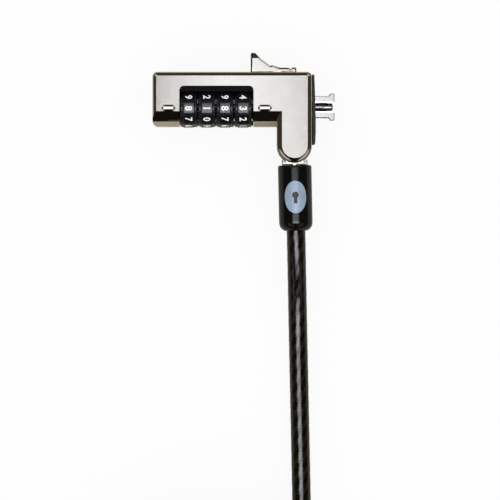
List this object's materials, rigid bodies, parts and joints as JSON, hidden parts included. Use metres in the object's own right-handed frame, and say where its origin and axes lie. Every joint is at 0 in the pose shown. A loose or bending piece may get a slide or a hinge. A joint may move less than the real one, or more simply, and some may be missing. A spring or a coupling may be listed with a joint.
{
  "type": "laptop cable lock",
  "caption": "Combination laptop lock head with number wheels, a thumb lever and spreading T hooks, on a pivoting, swivelling steel cable that ends in a crimped eye.",
  "frame": {"origin": "on the back cover's flat face, where the wheels' axis crosses the middle of the leg", "axes": "+X out of the nose pad towards the laptop's slot, +Y towards the thumb lever, +Z out of the face with the numbers"},
  "size_m": [0.0761, 0.2044, 0.024],
  "materials": {
    "nickel": "polished nickel plating on a zinc casting",
    "steel": "machined bright steel",
    "dark_steel": "polished black oxide",
    "black_gloss": "glossy black moulding",
    "black_plastic": "satin black moulding",
    "rubber": "matte",
    "brass": "turned",
    "jacket": "clear smoked jacket over twisted steel strands",
    "strap": "woven hook and loop strap"
  },
  "bodies": {
    "cable": {"cable_run": "jacket", "cable_coil": "jacket", "cable_tail": "jacket", "cable_eye": "jacket", "eye_crimp": "steel", "coil_tie": "strap", "cable_sleeve": "black_gloss", "cable_core": "steel", "swivel_stem": "steel"},
    "anchor": {"anchor_block": "nickel", "pivot_pin": "steel"},
    "head": {"housing_front": "nickel", "back_cover": "nickel", "cover_screw_1": "steel", "cover_screw_2": "steel", "cover_screw_3": "steel", "cover_screw_4": "steel", "nose_pad": "rubber", "wheel_frame": "black_plastic", "detent_spring": "steel", "spring_guide": "steel", "return_spring": "steel", "hook_pin_upper": "steel", "hook_pin_lower": "steel"},
    "slider": {"spindle": "steel", "carriage": "steel", "thumb_lever": "nickel", "locking_pin": "dark_steel"},
    "hook_up": {"hook_upper": "steel"},
    "hook_low": {"hook_lower": "steel"},
    "reset": {"reset_screw": "brass"},
    "wheel_1": {"number_wheel_1": "black_gloss", "clutch_hub_1": "brass"},
    "wheel_2": {"number_wheel_2": "black_gloss", "clutch_hub_2": "brass"},
    "wheel_3": {"number_wheel_3": "black_gloss", "clutch_hub_3": "brass"},
    "wheel_4": {"number_wheel_4": "black_gloss", "clutch_hub_4": "brass"}
  },
  "joints": [
    {"name": "cable_swivel", "type": "hinge", "parent": "cable", "child": "anchor", "pos_m": [0, -0.0111, 0.0061], "axis": [-0.0209, 0.9998, 0], "continuous": true},
    {"name": "head_pivot", "type": "hinge", "parent": "anchor", "child": "head", "pos_m": [0, -0.0111, 0.0061], "axis": [0, 0, 1], "range_deg": [-35, 55]},
    {"name": "lever_slide", "type": "slide", "parent": "head", "child": "slider", "axis": [-1, 0, 0], "range_m": [0, 0.0046], "stiffness_N_per_m": 200, "springref_m": -0.005, "deforming": ["return_spring"]},
    {"name": "hook_upper_swing", "type": "hinge", "parent": "head", "child": "hook_up", "pos_m": [0.0019, 0.00295, 0.0073], "axis": [0, 0, -1], "range_deg": [0, 5.75]},
    {"name": "hook_lower_swing", "type": "hinge", "parent": "head", "child": "hook_low", "pos_m": [0.0019, -0.00255, 0.0073], "axis": [0, 0, 1], "range_deg": [0, 5.75]},
    {"name": "reset_turn", "type": "hinge", "parent": "head", "child": "reset", "pos_m": [-0.0408, 0.0046, 0.0073], "axis": [1, 0, 0], "range_deg": [0, 90]},
    {"name": "wheel_1_turn", "type": "hinge", "parent": "head", "child": "wheel_1", "pos_m": [-0.0307, 0, 0.0073], "axis": [1, 0, 0], "continuous": true},
    {"name": "wheel_2_turn", "type": "hinge", "parent": "head", "child": "wheel_2", "pos_m": [-0.02543, 0, 0.0073], "axis": [1, 0, 0], "continuous": true},
    {"name": "wheel_3_turn", "type": "hinge", "parent": "head", "child": "wheel_3", "pos_m": [-0.02016, 0, 0.0073], "axis": [1, 0, 0], "continuous": true},
    {"name": "wheel_4_turn", "type": "hinge", "parent": "head", "child": "wheel_4", "pos_m": [-0.01489, 0, 0.0073], "axis": [1, 0, 0], "continuous": true}
  ],
  "couplings": [
    {"joint": "hook_upper_swing", "follows": "lever_slide", "rad_per_m": 21.739},
    {"joint": "hook_lower_swing", "follows": "lever_slide", "rad_per_m": 21.739}
  ]
}
